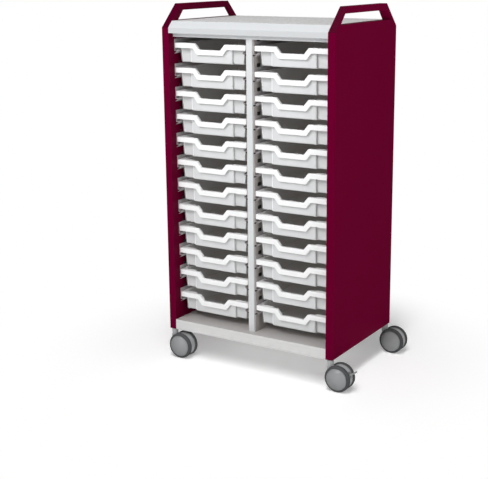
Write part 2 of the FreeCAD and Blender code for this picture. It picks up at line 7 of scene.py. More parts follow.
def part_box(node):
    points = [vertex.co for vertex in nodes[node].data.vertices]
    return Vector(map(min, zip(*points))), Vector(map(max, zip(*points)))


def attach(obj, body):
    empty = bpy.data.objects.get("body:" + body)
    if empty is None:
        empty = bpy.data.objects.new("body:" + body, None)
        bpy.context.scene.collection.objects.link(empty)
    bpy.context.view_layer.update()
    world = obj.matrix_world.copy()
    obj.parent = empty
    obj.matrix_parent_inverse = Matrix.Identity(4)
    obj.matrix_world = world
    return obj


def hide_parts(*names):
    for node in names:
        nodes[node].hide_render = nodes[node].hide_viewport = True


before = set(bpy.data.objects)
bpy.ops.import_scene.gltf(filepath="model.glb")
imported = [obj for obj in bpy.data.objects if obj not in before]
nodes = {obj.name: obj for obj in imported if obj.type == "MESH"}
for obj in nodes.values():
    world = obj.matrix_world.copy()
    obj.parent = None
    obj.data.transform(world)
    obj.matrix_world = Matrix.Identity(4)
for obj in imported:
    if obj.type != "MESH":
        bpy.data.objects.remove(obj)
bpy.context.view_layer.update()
mm = 0.001


# shader maths: a socket that can be added, scaled and compared
class Wire:
    def __init__(self, tree, socket):
        self.tree = tree
        self.socket = socket

    def calculate(self, operation, first, second):
        node = self.tree.nodes.new("ShaderNodeMath")
        node.operation = operation
        for place, value in zip(node.inputs, (first, second)):
            if isinstance(value, Wire):
                self.tree.links.new(value.socket, place)
            else:
                place.default_value = value
        return Wire(self.tree, node.outputs[0])

    def __add__(self, other):
        return self.calculate("ADD", self, other)

    def __radd__(self, other):
        return self.calculate("ADD", other, self)

    def __sub__(self, other):
        return self.calculate("SUBTRACT", self, other)

    def __rsub__(self, other):
        return self.calculate("SUBTRACT", other, self)

    def __mul__(self, other):
        return self.calculate("MULTIPLY", self, other)

    def __rmul__(self, other):
        return self.calculate("MULTIPLY", other, self)

    def __pow__(self, other):
        return self.calculate("POWER", self, other)

    def __rpow__(self, other):
        return self.calculate("POWER", other, self)

    def __gt__(self, other):
        return self.calculate("GREATER_THAN", self, other)

    def __lt__(self, other):
        return self.calculate("LESS_THAN", self, other)


# one material or sky: its shader and a method that adds any other node
class Finish:
    def __init__(self, owner, shader, constants):
        self.owner = owner
        owner.use_nodes = True
        self.tree = owner.node_tree
        self.shader = self.tree.nodes[shader]
        for socket, value in constants.items():
            self.shader.inputs[socket].default_value = value

    def add(self, kind, settings=None, values=None, out=0):
        node = self.tree.nodes.new("ShaderNode" + kind)
        for key, value in (settings or {}).items():
            setattr(node, key, value)
        for socket, value in (values or {}).items():
            if isinstance(value, Wire):
                self.tree.links.new(value.socket, node.inputs[socket])
            else:
                node.inputs[socket].default_value = value
        return Wire(self.tree, node.outputs[out])

    def feed(self, socket, wire):
        self.tree.links.new(wire.socket, self.shader.inputs[socket])

    def axis(self, letter, coordinate="Object"):
        spot = self.add("TexCoord", out=coordinate)
        return self.add("SeparateXYZ", None, {0: spot}, letter)

    def noise(self, scale, detail=2.0, roughness=0.5):
        spot = self.add("TexCoord", out="Object")
        return self.add("TexNoise", None, {
            "Vector": spot, "Scale": scale, "Detail": detail, "Roughness": roughness})

    def remap(self, value, start, end, low=0.0, high=1.0, curve="LINEAR"):
        # runs from low to high while the value runs from start to end
        return self.add("MapRange", {"interpolation_type": curve}, {
            0: value, 1: start, 2: end, 3: low, 4: high})

    def between(self, factor, low, high):
        # a colour from low to high; either may be a wire or three numbers
        low, high = [end if isinstance(end, Wire) else (*end, 1) for end in (low, high)]
        return self.add("Mix", {"data_type": "RGBA"}, {0: factor, 6: low, 7: high}, 2)

    def paintedSlopeShading(self, look):
        # share of the painted tone on faces that slope upward, 0 on upright and level ones; it
        # paints shade on the claret and a highlight on the top's bevel
        level = self.axis("Z", "Normal")
        share = self.remap(level, look["slopeFrom"], look["slopeTo"], 0.0, look["paintedShadingShare"])
        return share * (level < look["aboveTo"])

    def paintedFrontShading(self, look):
        # a smaller share of the same painted tone on faces that look straight ahead: painted
        # shade on the claret's front strips
        return (self.axis("Y", "Normal") < look["aheadFrom"]) * look["paintedFrontShare"]

    def gloss(self, look, uneven):
        self.feed("Roughness", look["roughness"] + (uneven - 0.5) * look["unevenGloss"])

    def bump(self, height, strength, depth):
        self.feed("Normal", self.add("Bump", None, {
            "Height": height, "Strength": strength, "Distance": depth * mm}))


def grey(level):
    return (level, level, level)


def newFinish(name, look):
    return Finish(bpy.data.materials.new(name), "Principled BSDF", {
        "IOR": look["ior"], "Specular IOR Level": look["specular"],
        "Specular Tint": (*look["tint"], 1)})


# painted steel; the claret has painted shade on the handles' slopes and on the front strips
coatLook = {
    "ior": 1.5, "specular": 0.4, "tint": grey(1), "roughness": 0.38, "unevenGloss": 0.1,
    "cloudScale": 3.0, "cloudDetail": 3.0, "fleckScale": 700.0, "fleck": 0.3,
    "peelScale": 900.0, "peelStrength": 0.22, "peelDepth": 0.1, "fineScale": 3600.0,
    "fineDetail": 1.0, "fineShare": 0.3, "above": grey(0.6), "paintedShadingShare": 0.0, "aboveTo": 0.9,
    "slopeFrom": 0.25, "slopeTo": 0.6, "paintedFrontShare": 0.0, "aheadFrom": -0.95}
# the claret's above tone is a darker painted shade for its slopes and front strips
claretLook = dict(
    coatLook, specular=0.04, roughness=0.32, tint=(1, 0.08, 0.3), above=(0.05, 0.0, 0.01),
    paintedShadingShare=0.8, paintedFrontShare=0.25)
linerLook = dict(coatLook, specular=0.03, roughness=0.45)


def paint(name, low, high, look):
    # powder coat: fine peel in the surface, hardly uneven colour and gloss
    finish = newFinish(name, look)
    cloud = finish.noise(look["cloudScale"], look["cloudDetail"])
    fleck = finish.noise(look["fleckScale"])
    mottle = cloud * (1 - look["fleck"]) + fleck * look["fleck"]
    tone = finish.between(mottle, low, high)
    # painted shade where the look gives a share: upward slopes and front faces take its darker
    # painted tone
    shaded = finish.paintedSlopeShading(look) + finish.paintedFrontShading(look)
    finish.feed("Base Color", finish.between(shaded, tone, look["above"]))
    finish.gloss(look, cloud)
    fine = finish.noise(look["fineScale"], look["fineDetail"])
    peel = finish.noise(look["peelScale"]) + fine * look["fineShare"]
    finish.bump(peel, look["peelStrength"], look["peelDepth"])
    return finish.owner


claret = paint("claret", (0.132, 0.0, 0.0215), (0.146, 0.0, 0.0255), claretLook)
# the liners, the side panels' inner sheets beside the trays, are a darker copy of the claret:
# painted shade
claretLinerShaded = paint("claretLinerShaded", (0.1, 0.0, 0.016), (0.112, 0.0, 0.019), linerLook)
whitePaint = paint("whitePaint", (0.62, 0.635, 0.65), (0.66, 0.67, 0.68), coatLook)
greyPaint = paint("greyPaint", (0.6, 0.62, 0.63), (0.64, 0.655, 0.665), coatLook)
# the divider's side channels: a dark grey-brown, darker than the divider's face
channelPaint = paint("channelPaint", (0.36, 0.335, 0.32), (0.43, 0.4, 0.385), linerLook)

# plastics, and the zinc plating, which is glossier
plasticLook = {
    "ior": 1.48, "specular": 0.4, "tint": grey(1), "roughness": 0.36, "unevenGloss": 0.1,
    "flowScale": 22.0, "flowDetail": 4.0, "flowRough": 0.6,
    "grainScale": 1400.0, "grainDetail": 3.0, "grainStrength": 0.18, "grainDepth": 0.08}
rubberLook = dict(plasticLook, roughness=0.55, specular=0.3, grainScale=900.0)
zincLook = dict(plasticLook, specular=0.8)


def flowMarks(finish, look):
    return finish.noise(look["flowScale"], look["flowDetail"], look["flowRough"])


def mouldGrain(finish, look):
    return finish.noise(look["grainScale"], look["grainDetail"])


def moulding(name, low, high, look):
    # moulded plastic: spark-eroded grain, faint flow marks
    finish = newFinish(name, look)
    flow = flowMarks(finish, look)
    finish.feed("Base Color", finish.between(flow, low, high))
    finish.gloss(look, flow)
    finish.bump(mouldGrain(finish, look), look["grainStrength"], look["grainDepth"])
    return finish.owner


runnerPlastic = moulding("runnerPlastic", (0.36, 0.33, 0.335), (0.42, 0.39, 0.395), plasticLook)
leverPlastic = moulding("leverPlastic", (0.31, 0.315, 0.32), (0.35, 0.355, 0.36), plasticLook)
framePlastic = moulding("framePlastic", (0.4, 0.41, 0.415), (0.45, 0.46, 0.465), plasticLook)
tyreRubber = moulding("tyreRubber", (0.062, 0.064, 0.067), (0.078, 0.08, 0.084), rubberLook)
# near black: painted shade for the holes and slots by the runners' ends
holeShadeBlack = moulding("holeShadeBlack", (0.012, 0.011, 0.012), (0.02, 0.019, 0.02), plasticLook)
zinc = moulding("zinc", (0.36, 0.39, 0.4), (0.44, 0.47, 0.48), zincLook)

# the top and the shelf: coated edges and a speckled upper face; the top's bevel carries a
# painted highlight
boardLook = dict(
    coatLook, roughness=0.5, fleckScale=420.0, speckDetail=3.0, speckRough=0.7, speckFrom=0.35,
    speckTo=0.65, speckHigh=0.2, faceDepth=0.1)
# on the top, above is a lighter painted-highlight tone for the upward sloping bevel
topLook = dict(
    boardLook, fleckScale=130.0, above=(0.57, 0.585, 0.6), paintedShadingShare=1.0,
    edge=((0.49, 0.505, 0.52), (0.53, 0.54, 0.55)),
    face=((0.56, 0.555, 0.555), (0.87, 0.865, 0.86)))
# the shelf's upper face is painted darker than its edges: painted shade under the trays, with a
# speckle
shelfLook = dict(
    boardLook, edge=((0.59, 0.59, 0.585), (0.64, 0.635, 0.63)),
    face=((0.445, 0.425, 0.415), (0.565, 0.545, 0.535)))


def boardFinish(name, board, look):
    finish = newFinish(name, look)
    _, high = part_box(board)
    onFace = finish.axis("Z") > high.z - look["faceDepth"] * mm
    grains = finish.noise(look["fleckScale"], look["speckDetail"], look["speckRough"])
    speck = finish.remap(grains, look["speckFrom"], look["speckTo"])
    cloud = finish.noise(look["cloudScale"], look["cloudDetail"])
    coat = finish.between(cloud, *look["edge"])
    # painted highlight on the top: its upward slopes take the lighter painted tone
    coat = finish.between(finish.paintedSlopeShading(look), coat, look["above"])
    face = finish.between(speck, *look["face"])
    finish.feed("Base Color", finish.between(onFace, coat, face))
    finish.gloss(look, cloud)
    peel = finish.noise(look["peelScale"]) + speck * look["speckHigh"]
    finish.bump(peel, look["peelStrength"], look["peelDepth"])
    return finish.owner


topPaint = boardFinish("topLaminate", "top_panel", topLook)
shelfPaint = boardFinish("shelfPaint", "bottom_shelf", shelfLook)

# the trays; lipFrom, rimFrom and rimDeep are from the top and front of the rim
trayPlasticLook = dict(
    plasticLook, ior=1.49, lipFrom=-4.2, rimFrom=-42.8, rimDeep=8.5, glow=1.0,
    # the tub walls' tone is painted darker than the rim's: painted shade
    thin=((0.6, 0.615, 0.625), (0.66, 0.67, 0.675)),
    thick=((0.83, 0.835, 0.84), (0.88, 0.88, 0.88)),
    # inside is a faint painted glow on the tub walls, and corner is the glow of a painted
    # highlight on their front left corners
    inside=(0.0235, 0.0208, 0.0188), corner=(0.42, 0.43, 0.44),
    highlightSide=(-0.6, -0.8, 0), highlightFrom=0.85, highlightTo=0.94)


def trayFinish(look):
    # polypropylene: the thick rim is bright, and the tub walls are painted darker, a painted
    # shade for the dark inside showing through them
    finish = newFinish("trayPlastic", look)
    up, deep = finish.axis("Z"), finish.axis("Y")
    bar = (up > look["rimFrom"] * mm) * (deep < look["rimDeep"] * mm)
    lip = up > look["lipFrom"] * mm
    rim = finish.add("Math", {"operation": "MAXIMUM"}, {0: bar, 1: lip})
    flow = flowMarks(finish, look)
    thin = finish.between(flow, *look["thin"])
    thick = finish.between(flow, *look["thick"])
    finish.feed("Base Color", finish.between(rim, thin, thick))
    # painted light: the tub walls glow faintly, lifting their dark inside, and a painted
    # highlight glows on their rounded corners that look ahead and left
    facing = finish.add("TexCoord", out="Normal")
    turned = finish.add("VectorMath", {"operation": "DOT_PRODUCT"}, {
        0: facing, 1: look["highlightSide"]}, "Value")
    corner = finish.remap(turned, look["highlightFrom"], look["highlightTo"])
    inside = finish.between(corner, look["inside"], look["corner"])
    finish.feed("Emission Color", finish.between(rim, inside, grey(0)))
    finish.shader.inputs["Emission Strength"].default_value = look["glow"]
    finish.gloss(look, flow)
    finish.bump(mouldGrain(finish, look), look["grainStrength"], look["grainDepth"])
    return finish.owner


castorPlasticLook = dict(
    plasticLook, crownDepth=75, capFrom=0.4, tones=((0.28, 0.285, 0.29), (0.32, 0.325, 0.33)))


def hubFinish(look):
    # the caps are crowned, so their light runs from bright at the top to dull at the foot
    finish = newFinish("castorPlastic", look)
    flow = flowMarks(finish, look)
    finish.feed("Base Color", finish.between(flow, *look["tones"]))
    finish.gloss(look, flow)
    across, along, up = [finish.axis(letter, "Generated") - 0.5 for letter in "XYZ"]
    onCap = (along ** 2) > look["capFrom"] ** 2
    crown = (across ** 2 + up ** 2) * onCap
    grain = mouldGrain(finish, look) * (look["grainDepth"] / look["crownDepth"])
    finish.bump(grain * look["grainStrength"] - crown, 1.0, look["crownDepth"])
    return finish.owner


trayPlastic = trayFinish(trayPlasticLook)
castorPlastic = hubFinish(castorPlasticLook)
print("finishes")


# mesh helpers, all in millimetres until the vertices are made
def arc(before, corner, after, radius, steps):
    # the points of a fillet that rounds one corner of an outline
    corner = Vector(corner)
    toBefore = (Vector(before) - corner).normalized()
    toAfter = (Vector(after) - corner).normalized()
    half = toBefore.angle(toAfter) / 2
    centre = corner + (toBefore + toAfter).normalized() * radius / math.sin(half)
    first = corner + toBefore * radius / math.tan(half) - centre
    last = corner + toAfter * radius / math.tan(half) - centre
    sweep = first.angle(last)
    points = []
    for step in range(steps + 1):
        share = step / steps
        mixed = first * math.sin((1 - share) * sweep) + last * math.sin(share * sweep)
        points.append(centre + mixed / math.sin(sweep))
    return points


def filleted(corners, steps=3, closed=True):
    # corners are (across, along, radius); a radius of 0 leaves the corner as it is
    path = []
    count = len(corners)
    for i, (across, along, radius) in enumerate(corners):
        atEnd = not closed and i in (0, count - 1)
        if radius <= 0 or atEnd:
            path.append(Vector((across, along)))
        else:
            before, after = corners[i - 1][:2], corners[(i + 1) % count][:2]
            path += arc(before, (across, along), after, radius, steps)
    return path


def plate(left, right, low, high, radius):
    # a rectangle with rounded corners
    return filleted([
        (left, low, radius), (right, low, radius), (right, high, radius), (left, high, radius)])


def mirrored(path):
    return [Vector((-p.x, p.y)) for p in reversed(path)]


def ringFaces(mesh, rings, joined):
    # quads between rings of vertices; joined also closes the last ring to the first
    count = len(rings)
    for i in range(count if joined else count - 1):
        near, far = rings[i], rings[(i + 1) % count]
        for k in range(len(near)):
            n = (k + 1) % len(near)
            mesh.faces.new((near[k], near[n], far[n], far[k]))


def lathe(mesh, profile, centre, axis, steps):
    # turns a profile of (radius, along) round an axis; a closed profile gives a ring
    axis = Vector(axis)
    side = axis.orthogonal().normalized()
    other = axis.cross(side)
    closed = all(radius > 0 for radius, _ in profile)
    turns = [2 * math.pi * step / steps for step in range(steps)]
    rings = []
    poles = {}
    for i, (radius, along) in enumerate(profile):
        base = Vector(centre) + axis * along
        if radius <= 0:
            poles[i] = mesh.verts.new(base * mm)
            continue
        rings.append([
            mesh.verts.new((base + (side * math.cos(a) + other * math.sin(a)) * radius) * mm)
            for a in turns])
    ringFaces(mesh, rings, closed)
    for i, pole in poles.items():
        ring = rings[0] if i == 0 else rings[-1]
        for k in range(steps):
            mesh.faces.new((ring[k], ring[(k + 1) % steps], pole))


def prism(mesh, outline, along, depth, place):
    # extrudes an outline; place turns its (across, up, depth) into a point
    rings = []
    for reach in (along, along + depth):
        rings.append([mesh.verts.new(Vector(place(p[0], p[1], reach)) * mm) for p in outline])
    ringFaces(mesh, rings, False)
    for ring in rings:
        mesh.faces.new(ring)


def toObject(mesh, name, material, crease=30):
    bmesh.ops.recalc_face_normals(mesh, faces=mesh.faces)
    data = bpy.data.meshes.new(name)
    mesh.to_mesh(data)
    mesh.free()
    data.polygons.foreach_set("use_smooth", [True] * len(data.polygons))
    data.set_sharp_from_angle(angle=math.radians(crease))
    data.materials.append(material)
    made = bpy.data.objects.new(name, data)
    bpy.context.scene.collection.objects.link(made)
    return made


def shade(made):
    made.modifiers.new("shading", "WEIGHTED_NORMAL").keep_sharp = True


def soften(made, width, segments=2, angle=35):
    bevel = made.modifiers.new("edges", "BEVEL")
    bevel.width = width * mm
    bevel.segments = segments
    bevel.limit_method = "ANGLE"
    bevel.angle_limit = math.radians(angle)
    shade(made)


def inMm(node):
    low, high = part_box(node)
    return low / mm, high / mm


# trays: one moulding, shown 24 times; third and label are how far back the tub's front
# stands in its outer thirds and in the middle, and draft is how far its walls lean in
trayLook = {
    "rows": 12, "wall": 2.2, "plate": 2.5, "crease": 40,
    "frontSkirt": 18.7, "sideSkirt": 29.0, "rearSkirt": 17.3, "skirtRound": 0.7,
    "skirtBreak": 0.3, "stepFrom": 20, "stepTo": 26, "rearStepFrom": 8, "rearStepTo": 6,
    "tubInset": 11.6, "tubCorner": 5, "cornerLoss": 4, "draft": 7, "frontDraft": 1,
    "footRound": 6, "insideRound": 0.8, "neckRound": 0.6, "rimRound": 1.8, "rimCorner": 5,
    "cornerSteps": 5, "third": 22.7, "label": 10.7, "labelHalf": 91.5, "labelRound": 4,
    "labelSteps": 3, "dip": 22.4, "dipTop": 65.3, "dipFoot": 46.9, "dipRound": 5,
    "dipSteps": 4, "dipEnds": 20, "spread": 9.5}


def dipPath(look, spread):
    # the finger dip across the front, its four corners rounded
    top, foot, bend = look["dipTop"] + spread, look["dipFoot"] + spread, look["dipRound"]
    low, far = -look["dip"], top + look["dipEnds"]
    corners = [(-far, 0, 0), (-top, 0, bend), (-foot, low, bend), (foot, low, bend),
               (top, 0, bend), (far, 0, 0)]
    return filleted(corners, look["dipSteps"], closed=False)[1:-1]


def labelPoints(look):
    # how many points the two bends beside the label panel take
    return 2 * (look["labelSteps"] + 1)


def planLoop(half, front, label, rear, corner, look, dip):
    # one level of the tray seen from above, from its front left corner round to the left
    third, small = look["labelHalf"], look["labelRound"]
    steps, count = look["labelSteps"], labelPoints(look)
    ends = [(-half, rear), (-half, front), (-third, front), (-third, label), (third, label)]
    left = arc(*ends[:3], corner, look["cornerSteps"])
    if label < front:
        left += arc(*ends[1:4], small, steps) + arc(*ends[2:], small, steps)
    else:
        left += [Vector((-third - small + 2 * small * i / count, front)) for i in range(count)]
    middle = [Vector((p.x, label)) for p in dip]
    sideY = [look["stepFrom"], look["stepTo"],
             rear - look["rearStepFrom"], rear - look["rearStepTo"]]
    rightSide = [Vector((half, y)) for y in sideY]
    rearRight = arc((half, front), (half, rear), (-half, rear), corner, look["cornerSteps"])
    return (left + middle + mirrored(left) + rightSide + rearRight + mirrored(rearRight)
            + mirrored(rightSide))


def trayLevel(mesh, plan, heights, dip, look):
    # puts a plan loop at its heights: front, sides and rear, with the dip in the middle
    front, side, rear = heights
    corner = look["cornerSteps"] + 1
    ahead = [front] * (corner + labelPoints(look))
    levels = ahead + [front + p.y for p in dip] + ahead
    levels += [front, side, side, rear] + [rear] * (2 * corner) + [rear, side, side, front]
    return [mesh.verts.new(Vector((p.x, p.y, z)) * mm) for p, z in zip(plan, levels)]


def makeTrayMesh(low, high, look):
    # from the inside of the foot up to the rim, round the skirt, and down the outside
    half, length, height = (high.x - low.x) / 2, high.y - low.y, high.z - low.z
    top, foot = dipPath(look, 0), dipPath(look, look["spread"])
    flat = [Vector((p.x, 0)) for p in top]
    wall, thick, inset = look["wall"], look["plate"], look["tubInset"]
    mesh = bmesh.new()
    rings = []

    def rim(inward, heights, dip):
        plan = planLoop(
            half - inward, inward, inward, length - inward, look["rimCorner"], look, dip)
        rings.append(trayLevel(mesh, plan, heights, dip, look))

    def tub(inward, level, dip):
        drop = -level / height
        side = half - inset - inward - look["draft"] * drop
        ahead = inward + look["frontDraft"] * drop
        rear = length - inset - inward - look["draft"] * drop
        plan = planLoop(
            side, look["third"] + ahead, look["label"] + ahead, rear,
            look["tubCorner"] - min(inward, look["cornerLoss"]), look, dip)
        rings.append(trayLevel(mesh, plan, (level,) * 3, dip, look))

    footRound, topRound, inner = look["footRound"], look["rimRound"], look["insideRound"]
    quarter = [math.radians(a) for a in (0, 30, 60, 90)]
    for a in quarter:
        tub(wall + footRound * inner * (1 - math.sin(a)),
            wall - height + footRound * inner * (1 - math.cos(a)), flat)
    for a in quarter:
        tub(wall * math.cos(a), -wall * (1 - math.sin(a)), top)
    for a in quarter:
        drop = topRound * (1 - math.cos(a))
        rim(topRound * (1 - math.sin(a)), (-drop,) * 3, top)
    lows = [-look[key] for key in ("frontSkirt", "sideSkirt", "rearSkirt")]
    small = look["skirtRound"]
    cut = small * look["skirtBreak"]
    for inward, up in ((0, small), (cut, cut), (small, 0),
                       (wall - small, 0), (wall - cut, cut), (wall, small)):
        rim(inward, [z + up for z in lows], foot)
    rim(wall, (-thick - small,) * 3, top)
    rim(wall + small, (-thick,) * 3, top)
    tub(-look["neckRound"], -thick, top)
    tub(0, -thick - look["neckRound"], top)
    for a in quarter:
        tub(footRound * (1 - math.cos(a)), -height + footRound * (1 - math.sin(a)), flat)
    ringFaces(mesh, rings, False)
    mesh.faces.new(rings[0])
    mesh.faces.new(rings[-1])
    return toObject(mesh, "trayShape", trayPlastic, look["crease"])


pattern = makeTrayMesh(*inMm("tray_left_01"), trayLook)
trayMesh = pattern.data
bpy.data.objects.remove(pattern)
for node in sorted(nodes):
    if node.startswith("tray_"):
        low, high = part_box(node)
        tray = bpy.data.objects.new(node + "_moulding", trayMesh)
        bpy.context.scene.collection.objects.link(tray)
        tray.location = ((low.x + high.x) / 2, low.y, high.z)
        shade(tray)
        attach(tray, node)
        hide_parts(node)
print("trays")


# castors: each wheel pair is turned about its axle; inner and plane are a wheel's two
# faces, measured along the axle from the castor's middle
wheelLook = {
    "inner": 13.5, "plane": 30.2, "rim": 46.5, "tread": 11, "cap": 40.5, "capRound": 1.2,
    "capBreak": 0.35, "domeSteps": 9, "bore": 4.05, "boreEnd": 4, "webIn": 11, "webOut": 43,
    "webDeep": 2.4, "webSlope": 1.5, "seam": 0.7, "seamDeep": 3, "lip": 0.4, "lipDeep": 0.6,
    "lipRound": 0.8, "innerRound": 2.2, "treadRound": 4, "shoulder": 2.5, "shoulderDeep": 3.2,
    "shoulderRound": 2.5, "roundSteps": 5, "turnSteps": 96}


def hubProfile(look, crown):
    # from the bore out along the inner face, over the rim, then in along the crowned cap
    inner, plane, rim, cap = look["inner"], look["plane"], look["rim"], look["cap"]
    bore, boreEnd = look["bore"], plane - look["boreEnd"]
    web, slope = inner + look["webDeep"], look["webSlope"]
    flat, chamfer = cap - look["capRound"], look["capBreak"]
    shares = [1 - step / look["domeSteps"] for step in range(look["domeSteps"])]
    dome = [(share * flat, plane + crown * (1 - share ** 2)) for share in shares]
    return [
        (0, boreEnd), (bore, boreEnd), (bore, inner), (look["webIn"], inner),
        (look["webIn"] + slope, web), (look["webOut"] - slope, web), (look["webOut"], inner),
        (rim, inner), (rim, inner + look["tread"]), (cap, plane - look["seamDeep"]),
        (cap, plane - look["capRound"]), (cap - chamfer, plane - chamfer)] + dome + [
        (0, plane + crown)]


def tyreProfile(look, radius):
    # out over the tread and the shoulder, then down into the seam beside the cap
    inner, outer, tread = look["inner"], look["plane"], look["inner"] + look["tread"]
    cap = look["cap"] + look["seam"]
    return filleted([
        (look["rim"], inner, 0), (radius, inner, look["innerRound"]),
        (radius, tread, look["treadRound"]),
        (radius - look["shoulder"], outer - look["shoulderDeep"], look["shoulderRound"]),
        (cap + look["lip"], outer - look["lipDeep"], look["lipRound"]),
        (cap, outer - look["seamDeep"], 0), (look["rim"], tread, 0)], look["roundSteps"])


def makeWheels(corner, look):
    hubLow, hubHigh = inMm("castor_wheels_" + corner)
    tyreLow, tyreHigh = inMm("castor_tyres_" + corner)
    centre = (hubLow + hubHigh) / 2
    hub = hubProfile(look, (hubHigh.y - hubLow.y) / 2 - look["plane"])
    tyre = tyreProfile(look, (tyreHigh.z - tyreLow.z) / 2)
    for part, profile, material, slot in (
            ("wheels", hub, castorPlastic, "castor_plastic"),
            ("tyres", tyre, tyreRubber, "castor_tyre")):
        mesh = bmesh.new()
        for out in (-1, 1):
            lathe(mesh, profile, centre, (0, out, 0), look["turnSteps"])
        node = "castor_" + part + "_" + corner
        made = toObject(mesh, node + "_turned", material)
        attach(made, "wheels_" + corner)
        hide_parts(node)


for corner in ("front_left", "front_right", "rear_left", "rear_right"):
    makeWheels(corner, wheelLook)
print("wheels")


# small parts on the carcass; a dome's points are shares of the radius and the head
screwLook = {
    "radius": 4.5, "head": 2.2, "dome": ((1, 0.3), (0.88, 0.66), (0.64, 0.93)),
    "socket": 1.7, "socketDeep": 1.3, "socketLip": 0.3, "lipFrom": 0.94, "drillTip": 0.3,
    "columns": 3, "rows": 5, "turnSteps": 32}


def spaced(low, high, inset, count):
    return [low + inset + (high - low - 2 * inset) * i / (count - 1) for i in range(count)]


def makeScrews(look):
    radius, head, socket = look["radius"], look["head"], look["socket"]
    sunk = head - look["socketDeep"]
    dome = [(radius * across, head * up) for across, up in look["dome"]]
    profile = [(0, 0), (radius, 0)] + dome + [
        (socket + look["socketLip"], head), (socket, head * look["lipFrom"]),
        (socket, sunk), (0, sunk - look["drillTip"])]
    low, high = inMm("back_screws")
    mesh = bmesh.new()
    for across in spaced(low.x, high.x, radius, look["columns"]):
        for up in spaced(low.z, high.z, radius, look["rows"]):
            lathe(mesh, profile, (across, low.y, up), (0, 1, 0), look["turnSteps"])
    made = toObject(mesh, "back_screws_domed", zinc)
    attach(made, "carcass")
    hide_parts("back_screws")


def rimHeights(column):
    # the tops of one column's trays, from which the runners' fixings are placed
    rows = range(1, trayLook["rows"] + 1)
    return [inMm("tray_%s_%02d" % (column, row))[1].z for row in rows]


# each point of the cap is a share of the radius, and how far it falls short of the reach
studLook = {
    "radius": 2.6, "reach": 4.6, "cap": ((1, 0.8), (0.75, 0.1), (0.4, 0)), "drop": 34.4,
    "inset": 0.8, "turnSteps": 24}


def makeStuds(look):
    # near-black studs on the divider's side channels by each runner's front end: painted shade
    # for the dark holes there
    _, strips = inMm("divider_strips")
    front, _ = inMm("runners_right_inner")
    inset = strips.x + look["inset"]
    radius, reach = look["radius"], look["reach"]
    cap = [(radius * across, reach - short) for across, short in look["cap"]]
    profile = [(0, 0), (radius, 0)] + cap + [(0, reach)]
    mesh = bmesh.new()
    for across, column in ((-inset, "left"), (inset, "right")):
        for rim in rimHeights(column):
            place = (across, front.y, rim - look["drop"])
            lathe(mesh, profile, place, (0, -1, 0), look["turnSteps"])
    made = toObject(mesh, "hole_shade_studs", holeShadeBlack)
    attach(made, "carcass")


# heights are above a tray's rim, and setback is from the side panel's front edge
clipLook = {
    "rise": 19, "setback": 66, "spacing": 340, "half": 6.6, "tall": 4.2, "round": 1.2,
    "deep": 2.4, "flush": 0.25, "flangeLow": 14.4, "flangeHigh": 27.5, "flangeHalf": 11,
    "flangeGap": 0.05, "proud": 1.0, "edge": 0.4}
hookLook = {
    "low": 6.5, "high": 13.5, "from": 4, "to": 16, "round": 1.5, "sunk": 0.3, "proud": 2.3,
    "edge": 0.4}


def bayWalls():
    # each wall that carries runners: its face, its trays, the way to its bay, flanged clips
    _, strips = inMm("divider_strips")
    _, liner = inMm("side_panel_left_inner")
    return [(-liner.x, "right", -1, False), (-strips.x, "left", -1, True),
            (strips.x, "right", 1, True), (liner.x, "left", 1, False)]


def makeFixings(clip, hook):
    # clips that fill the slots, near black as painted shade for the dark openings, and the
    # plated hooks that hang on them
    clips, hooks = bmesh.new(), bmesh.new()
    frontEdge, _ = inMm("side_panel_left_inner")
    plan = plate(-clip["half"], clip["half"], -clip["tall"], clip["tall"], clip["round"])
    body = [(p.x, p.y + clip["rise"]) for p in plan]
    flange = plate(-clip["flangeHalf"], clip["flangeHalf"], clip["flangeLow"],
                   clip["flangeHigh"], clip["round"])
    tongue = plate(hook["from"], hook["to"], hook["low"], hook["high"], hook["round"])
    for face, column, toBay, flanged in bayWalls():
        for rim in rimHeights(column):
            for along in (0, clip["spacing"]):
                middle = frontEdge.y + clip["setback"] + along

                def onWall(y, z, out):
                    return (face + toBay * out, middle + y, rim + z)

                prism(clips, body, -clip["deep"], clip["deep"] - clip["flush"], onWall)
                # painted shade: a dark flange round each slot on the divider's walls
                if flanged:
                    prism(clips, flange, clip["flangeGap"], clip["proud"], onWall)
                prism(hooks, tongue, -hook["sunk"], hook["proud"] + hook["sunk"], onWall)
    for mesh, name, material, slot, edge in (
            (clips, "slot_shade_clips", holeShadeBlack, "castor_tyre", clip["edge"]),
            (hooks, "runner_hooks", zinc, "steel", hook["edge"])):
        made = toObject(mesh, name, material)
        soften(made, edge)
        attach(made, "carcass")


makeScrews(screwLook)
makeStuds(studLook)
makeFixings(clipLook, hookLook)
print("screws, studs, clips and hooks")


# the pieces that keep their CAD shape, by how their names begin: each one's finish, the
# width of its rounded edges, and their segments
carriedOver = {
    "side_panel_left_inner": (claretLinerShaded, 0.6, 2),
    "side_panel_right_inner": (claretLinerShaded, 0.6, 2),
    "side_panel": (claret, 0.6, 2), "top_panel": (topPaint, 0.6, 2),
    "bottom_shelf": (shelfPaint, 0.6, 2), "centre_divider": (greyPaint, 0.5, 2),
    "divider_strips": (channelPaint, 0.3, 2), "top_rails": (whitePaint, 0.5, 2),
    "back_panel": (whitePaint, 0.5, 2), "runners": (runnerPlastic, 0.4, 2),
    "castor_housing": (framePlastic, 1.0, 3), "brake_lever": (leverPlastic, 1.2, 3),
    "castor_sockets": (zinc, 0.4, 2), "castor_pins": (zinc, 0.4, 2),
    "castor_axle": (zinc, 0.4, 2)}
cleanLook = {"weld": 0.01, "flatAngle": 1}


